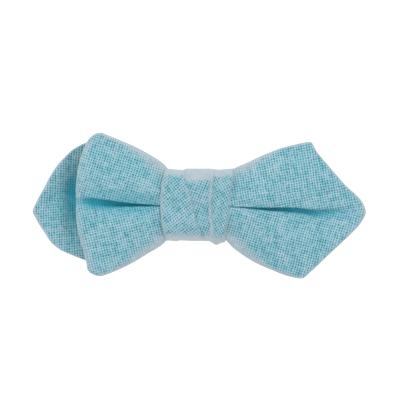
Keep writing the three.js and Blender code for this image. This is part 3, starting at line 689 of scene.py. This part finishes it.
def chambray(colours):
    """Plain weave: threads of two tints pass over and under each other and leave dark gaps
    between them. Each thread has its own thickness and shade. Where light_and_wear is above 0
    the gaps fill with a pale haze of painted sheen and highlight, partly rubbed wear, and where
    it is below 0 the cloth takes the darker teal of painted shade."""
    p = Pattern("teal chambray")
    weave = p.add("ShaderNodeUVMap", uv_map="weave").outputs[0]
    place = p.add("ShaderNodeTexCoord").outputs["Object"]
    apart = p.add("ShaderNodeSeparateXYZ", {0: weave})
    u, v = apart.outputs[0], apart.outputs[1]
    wander = p.math("MULTIPLY_ADD", p.noise(place, THREAD_WANDER, 1.0), 0.5, -0.25)
    u, v = p.math("ADD", u, wander), p.math("SUBTRACT", v, wander)
    across_u = p.math("SINE", p.math("MULTIPLY", p.math("FRACT", u), pi))
    across_v = p.math("SINE", p.math("MULTIPLY", p.math("FRACT", v), pi))
    across_v = p.math("POWER", across_v, 2.0)
    number_u, number_v = p.math("FLOOR", u), p.math("FLOOR", v)
    over = p.math("MODULO", p.math("ABSOLUTE", p.math("ADD", number_u, number_v)), 2.0)

    def slub(number, run, seed):
        where = p.add("ShaderNodeCombineXYZ", {0: p.math("MULTIPLY", number, SLUB_APART),
                                                1: p.math("MULTIPLY", run, RUN_OF_SLUB), 2: seed})
        return p.noise(where.outputs[0], 1.0, 2.0)

    warp, weft = slub(number_u, v, 0.0), slub(number_v, u, 40.0)
    crossing = p.add("ShaderNodeCombineXYZ", {0: p.math("ROUND", u), 1: p.math("ROUND", v)})
    crossing = p.add("ShaderNodeTexWhiteNoise", {"Vector": crossing.outputs[0]}).outputs["Value"]
    patches = p.noise(place, SHADE_PATCHES, 3.0, 0.6)
    blotch = p.noise(place, BLOTCHES, 2.0, 0.5)
    thick = p.between(p.math("ADD", warp, weft), 0.7, 1.3, -0.1, 0.1)
    thick = p.math("ADD", thick, p.between(blotch, 0.3, 0.7, -0.04, 0.04))
    thick = p.math("ADD", thick, p.math("MULTIPLY_ADD", crossing, 0.26, -0.10))
    cover = p.math("ADD", p.math("MAXIMUM", across_u, across_v), thick)
    cover = p.math("ADD", cover, p.math("MULTIPLY", p.math("MINIMUM", across_u, across_v), 0.12))
    body = p.between(cover, 0.36, 1.04)
    # The light_and_wear attribute: above 0 painted sheen and highlight, partly wear; below 0
    # painted shade in creases and hollows
    sheen_and_wear = p.add("ShaderNodeAttribute", attribute_name="light_and_wear").outputs["Fac"]
    crease_shade = p.math("MULTIPLY", sheen_and_wear, -1.0)
    crease_shade = p.math("MINIMUM", p.math("MAXIMUM", crease_shade, 0.0), 1.0)
    sheen_and_wear = p.math("MAXIMUM", sheen_and_wear, 0.0)
    body = p.math("MAXIMUM", body, p.math("MULTIPLY", sheen_and_wear, 0.85))
    body = p.math("MAXIMUM", body, p.math("MULTIPLY", crease_shade, 0.35))
    fibre = p.noise(place, CLOTH_FIBRES, 2.0, 0.7)
    shade = p.math("MULTIPLY_ADD", p.math("ADD", warp, weft), 0.28, 0.22)
    shade = p.math("ADD", shade, p.math("MULTIPLY_ADD", patches, 0.26, -0.13))
    shade = p.math("ADD", shade, p.math("MULTIPLY_ADD", crossing, 0.12, -0.06))
    shade = p.math("ADD", shade, p.math("MULTIPLY_ADD", fibre, 0.3, -0.15))
    thread = p.blend(p.between(shade, 0.24, 0.76), tuple(colours.deep), tuple(colours.pale))
    thread = p.blend(p.math("MULTIPLY", over, 0.16), thread, tuple(colours.weft))
    # Painted sheen and highlight, partly wear, in the haze tint, then painted shade in the darker
    # teal tint
    thread = p.blend(p.math("MULTIPLY", sheen_and_wear, 0.75), thread, tuple(colours.haze))
    thread = p.blend(p.math("MULTIPLY", crease_shade, 0.95), thread, tuple(colours.crease_shade))
    p.put(p.surface.inputs["Base Color"], p.blend(body, tuple(colours.gap), thread))
    height = p.math("ADD", p.math("MULTIPLY", cover, 0.8), p.math("MULTIPLY", fibre, 0.35))
    bump = p.add("ShaderNodeBump", {"Height": height, "Distance": CLOTH_RELIEF, "Strength": 0.7})
    p.put(p.surface.inputs["Normal"], bump.outputs[0])
    p.put(p.surface.inputs["Sheen Weight"], p.between(crease_shade, 0.0, 0.8, 0.3, 0.0))
    p.put(p.surface.inputs["Specular IOR Level"], p.between(crease_shade, 0.0, 0.8, 0.2, 0.05))
    settings = {"Roughness": 0.9, "Sheen Roughness": 0.5, "Sheen Tint": (0.9, 0.96, 1.0, 1.0)}
    for socket, value in settings.items():
        p.surface.inputs[socket].default_value = value
    return p.material


def spun(name, colour):
    """Thread or felt: one colour with fine fibres from noise in shade and height."""
    p = Pattern(name)
    place = p.add("ShaderNodeTexCoord").outputs["Object"]
    fibre = p.noise(place, SPUN_FIBRES, 3.0, 0.7)
    dark = tuple(0.6 * value for value in colour[:3]) + (1.0,)
    p.put(p.surface.inputs["Base Color"], p.blend(p.between(fibre, 0.3, 0.7), dark, tuple(colour)))
    bump = p.add("ShaderNodeBump", {"Height": fibre, "Distance": SPUN_RELIEF, "Strength": 0.6})
    p.put(p.surface.inputs["Normal"], bump.outputs[0])
    p.surface.inputs["Roughness"].default_value = 0.8
    p.surface.inputs["Sheen Weight"].default_value = 0.15
    return p.material


def plated(name, colour, roughness):
    """Metal with faint stretched scratches in its roughness and height, and dull specks."""
    p = Pattern(name)
    place = p.add("ShaderNodeTexCoord").outputs["Object"]
    along = p.add("ShaderNodeMapping", {"Vector": place, "Scale": METAL_SCRATCHES})
    scratch = p.noise(along.outputs[0], 1.0, 4.0, 0.65)
    speck = p.noise(place, METAL_SPECKS, 4.0, 0.6)
    rough = p.between(scratch, 0.3, 0.7, roughness - 0.06, roughness + 0.08)
    rough = p.math("ADD", rough, p.between(speck, 0.55, 0.75, 0.0, 0.14))
    p.put(p.surface.inputs["Roughness"], rough)
    dull = tuple(0.8 * value for value in colour[:3]) + (1.0,)
    p.put(p.surface.inputs["Base Color"], p.blend(p.between(speck, 0.4, 0.9), tuple(colour), dull))
    bump = p.add("ShaderNodeBump",
                 {"Height": scratch, "Distance": SCRATCH_RELIEF, "Strength": 0.5})
    p.put(p.surface.inputs["Normal"], bump.outputs[0])
    p.surface.inputs["Metallic"].default_value = 1.0
    return p.material


def colour_of(name, make, *values):
    """The named material, made the first time that it is asked for."""
    return bpy.data.materials.get(name) or make(*values)


def cloth():
    return colour_of("teal chambray", chambray, bpy.context.scene.bow_tie_colours)


def thread():
    colours = bpy.context.scene.bow_tie_colours
    return colour_of("teal sewing thread", spun, "teal sewing thread", colours.thread)


def felt():
    colours = bpy.context.scene.bow_tie_colours
    return colour_of("woven interlining", spun, "woven interlining", colours.interlining)


def finish_piece(piece, material, slot, *nodes):
    """Gives a new piece its material and its body, and hides the frame nodes that it stands for.
    """
    piece.data.materials.append(material)
    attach(piece, "bow")
    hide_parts(*nodes)
    return piece


# ---- What a user can change ----

def colour_property(name, description, red, green, blue):
    return bpy.props.FloatVectorProperty(name=name, description=description, subtype="COLOR",
                                         size=4, min=0, max=1, default=(red, green, blue, 1.0))


class BowTieColours(bpy.types.PropertyGroup):
    deep: colour_property("Deep thread", "Colour of the darkest threads", 0.085, 0.33, 0.39)
    pale: colour_property("Pale thread", "Colour of the lightest threads", 0.288, 0.402, 0.455)
    weft: colour_property("Weft thread", "Tint of the threads across", 0.40, 0.50, 0.54)
    gap: colour_property("Gaps", "Colour between the threads", 0.012, 0.14, 0.185)
    # Painted shade down in creases and hollows
    crease_shade: colour_property("Folds", "Tint of the painted shade down in folds", 0.022, 0.285, 0.38)
    # Painted sheen and highlight on edges and folds, partly rubbed wear
    haze: colour_property("Sheen and wear on edges", "Tint of the fuzz on folds and edges", 0.36, 0.38, 0.405)
    thread: colour_property("Sewing thread", "Colour of the seams", 0.12, 0.36, 0.42)
    interlining: colour_property("Interlining", "Colour of the inner cloth", 0.78, 0.77, 0.72)
    nickel: colour_property("Clip metal", "Colour of the clip's plating", 0.40, 0.395, 0.385)


class BowTieSizes(bpy.types.PropertyGroup):
    pitch: bpy.props.FloatProperty(
        name="Thread pitch", description="Distance between two threads of the cloth",
        default=0.93 * MM, min=0.3 * MM, max=3.0 * MM, precision=5,
        subtype="DISTANCE", unit="LENGTH")
    light: bpy.props.FloatProperty(
        name="Light", description="Strength of the studio lights", default=1.0, min=0.0, max=10.0,
        subtype="FACTOR")
    lens: bpy.props.FloatProperty(
        name="Lens", description="Focal length of the camera, in millimetres",
        default=120.0, min=10.0, max=400.0)


def make_strip(which, strip, facing):
    """The face, the lining, the interlining and the seam thread of one strip."""
    pitch = bpy.context.scene.bow_tie_sizes.pitch / MM
    for part, side in (("face", 1), ("lining", -1)):
        outer, light_and_wear, first = strip_grid(strip, facing, 0.0, side * HALF_STRIP)
        inner = strip_grid(strip, facing, CLOTH, side * (HALF_STRIP - CLOTH))[0]
        weave = strip_weave(strip, outer, first, pitch)
        piece = shell(f"{which}_{part}_cloth", outer, inner, weave, weave, light_and_wear)
        finish_piece(piece, cloth(), "chambray", f"{which}_strip_{part}")
    outer, inner = (strip_grid(strip, facing, INTERLINING_MARGIN, side * INTERLINING_HALF)[0]
                    for side in (1, -1))
    piece = shell(f"{which}_interlining_cloth", outer, inner)
    finish_piece(piece, felt(), "interlining", f"{which}_strip_interlining")
    middle = strip_grid(strip, facing, SEAM_MARGIN, 0.0)[0]
    path = np.concatenate([middle[::-1, -1], middle[0, -2:0:-1], middle[:, 0]])
    piece = tube(f"{which}_seam", path, SEAM_RADIUS, SEAM_SIDES)
    finish_piece(piece, thread(), "thread", f"{which}_strip_seam_thread")


class BOWTIE_OT_front_strip(bpy.types.Operator):
    """Make the front strip: its blade on the right and its loop on the left"""
    bl_idname = "bowtie.front_strip"
    bl_label = "Front strip"

    def execute(self, context):
        make_strip("front", FRONT, 1)
        return {"FINISHED"}


class BOWTIE_OT_rear_strip(bpy.types.Operator):
    """Make the rear strip: its blade on the left and its loop on the right"""
    bl_idname = "bowtie.rear_strip"
    bl_label = "Rear strip"

    def execute(self, context):
        make_strip("rear", REAR, -1)
        return {"FINISHED"}


class BOWTIE_OT_knot(bpy.types.Operator):
    """Make the knot band, with its three folds"""
    bl_idname = "bowtie.knot"
    bl_label = "Knot"

    def execute(self, context):
        pitch = context.scene.bow_tie_sizes.pitch / MM
        (outer, light_and_wear), (inner, _) = knot_grid(1.0), knot_grid(-1.0)
        weave = knot_weave(outer, pitch)
        piece = shell("knot_cloth", outer, inner, weave, weave, light_and_wear)
        finish_piece(piece, cloth(), "chambray", "knot_band")
        return {"FINISHED"}


def closing_stitches():
    """A whip stitch over the band's closing: a path that swings up and down as a cosine while
    it runs from left to right, highest off the cloth where it crosses the gap."""
    q = np.linspace(0, 1, STITCH_POINTS * STITCH_COUNT + 1)
    swing = np.cos(STITCH_COUNT * pi * q)
    reach = (STITCH_HIGH[2] - STITCH_LOW[2]) / 2 - STITCH_RADIUS
    half = (STITCH_HIGH[0] - STITCH_LOW[0]) / 2 - STITCH_RADIUS
    back = -(BAND_MIDDLE - BAND_DEPTH - BAND_THICK) + STITCH_RADIUS
    back = back + STITCH_LIFT * (1 - swing ** 2) - STITCH_BITE
    path = np.stack([half * (2 * q - 1), back, reach * swing], -1)
    return tube("knot_stitches", path, STITCH_RADIUS)


class BOWTIE_OT_threads(bpy.types.Operator):
    """Make the closing stitches and give the gathering thread its colour"""
    bl_idname = "bowtie.threads"
    bl_label = "Threads"

    def execute(self, context):
        finish_piece(closing_stitches(), thread(), "thread", "knot_closing_stitches")
        paint_node("gather_thread", thread())
        return {"FINISHED"}


class BOWTIE_OT_clip(bpy.types.Operator):
    """Give the collar clip its plated metal"""
    bl_idname = "bowtie.clip"
    bl_label = "Collar clip"

    def execute(self, context):
        colours = context.scene.bow_tie_colours
        nickel = plated("brushed nickel", colours.nickel, NICKEL_ROUGHNESS)
        steel = plated("spring steel", STEEL, STEEL_ROUGHNESS)
        paint_node("clip_bar", nickel)
        for side in ("right", "left"):
            paint_node(f"{side}_jaw", nickel)
            paint_node(f"{side}_hinge_pin", nickel)
            paint_node(f"{side}_jaw_spring", steel)
        return {"FINISHED"}


def paint_node(node, material):
    """Puts a material in every slot of a frame node."""
    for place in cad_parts[node].material_slots:
        place.material = material


# The stage: the floor in millimetres, the rest in metres and watts
FLOOR_HALF, FLOOR_HEIGHT = 4000.0, -75
FLOOR_GREY = 0.9
SURROUNDINGS = 1.15  # strength of the white world
LIGHTS = (  # name, place, size and power
    ("key light", (-0.25, -0.7, 1.1), 0.6, 6.5),
    ("front light", (0.5, -1.2, 0.2), 1.0, 3.2),
)
CAMERA_PLACE = (0.0007, -0.491, 0.0022)


class BOWTIE_OT_stage(bpy.types.Operator):
    """Make the pale floor, the soft lights, the white surroundings and the camera"""
    bl_idname = "bowtie.stage"
    bl_label = "Stage"

    def execute(self, context):
        scene = context.scene
        around = ((-1, -1), (1, -1), (1, 1), (-1, 1))
        corners = np.array([(FLOOR_HALF * x, FLOOR_HALF * y, FLOOR_HEIGHT) for x, y in around])
        floor = build("floor", corners, np.array([[0, 1, 2, 3]]))
        pale = Pattern("pale floor")
        pale.surface.inputs["Base Color"].default_value = (FLOOR_GREY, FLOOR_GREY, FLOOR_GREY, 1.0)
        pale.surface.inputs["Roughness"].default_value = 0.9
        floor.data.materials.append(pale.material)
        world = bpy.data.worlds.new("white studio")
        world.use_nodes = True
        world.node_tree.nodes["Background"].inputs[0].default_value = (1.0, 1.0, 1.0, 1.0)
        world.node_tree.nodes["Background"].inputs[1].default_value = SURROUNDINGS
        scene.world = world
        for name, place, size, power in LIGHTS:
            data = bpy.data.lights.new(name, "AREA")
            data.size = size
            data.energy = power * scene.bow_tie_sizes.light
            lamp = bpy.data.objects.new(name, data)
            aim = (Vector((0, 0, 0)) - Vector(place)).to_track_quat("-Z", "Y")
            lamp.matrix_world = Matrix.LocRotScale(Vector(place), aim, None)
            scene.collection.objects.link(lamp)
        scene.view_settings.view_transform = "Standard"
        data = bpy.data.cameras.new("camera")
        data.lens = scene.bow_tie_sizes.lens
        camera = bpy.data.objects.new("camera", data)
        camera.location = CAMERA_PLACE
        camera.rotation_euler = (pi / 2, 0, 0)
        scene.collection.objects.link(camera)
        scene.camera = camera
        return {"FINISHED"}


OPERATORS = (BOWTIE_OT_front_strip, BOWTIE_OT_rear_strip, BOWTIE_OT_knot, BOWTIE_OT_threads,
             BOWTIE_OT_clip, BOWTIE_OT_stage)


class BOWTIE_PT_panel(bpy.types.Panel):
    """Lists the pieces of the bow tie, its colours and its sizes"""
    bl_idname = "BOWTIE_PT_panel"
    bl_label = "Bow tie"
    bl_space_type = "VIEW_3D"
    bl_region_type = "UI"
    bl_category = "Bow tie"

    def draw(self, context):
        for group in (context.scene.bow_tie_sizes, context.scene.bow_tie_colours):
            for name in group.bl_rna.properties.keys():
                if name not in ("rna_type", "name"):
                    self.layout.prop(group, name)
        for operator in OPERATORS:
            self.layout.operator(operator.bl_idname)


CLASSES = (BowTieColours, BowTieSizes, *OPERATORS, BOWTIE_PT_panel)


def register():
    for kind in CLASSES:
        bpy.utils.register_class(kind)
    bpy.types.Scene.bow_tie_colours = bpy.props.PointerProperty(type=BowTieColours)
    bpy.types.Scene.bow_tie_sizes = bpy.props.PointerProperty(type=BowTieSizes)


def unregister():
    del bpy.types.Scene.bow_tie_sizes
    del bpy.types.Scene.bow_tie_colours
    for kind in reversed(CLASSES):
        bpy.utils.unregister_class(kind)


def main():
    register()
    for operator in OPERATORS:
        group, name = operator.bl_idname.split(".")
        getattr(getattr(bpy.ops, group), name)()


if __name__ == "__main__":
    main()
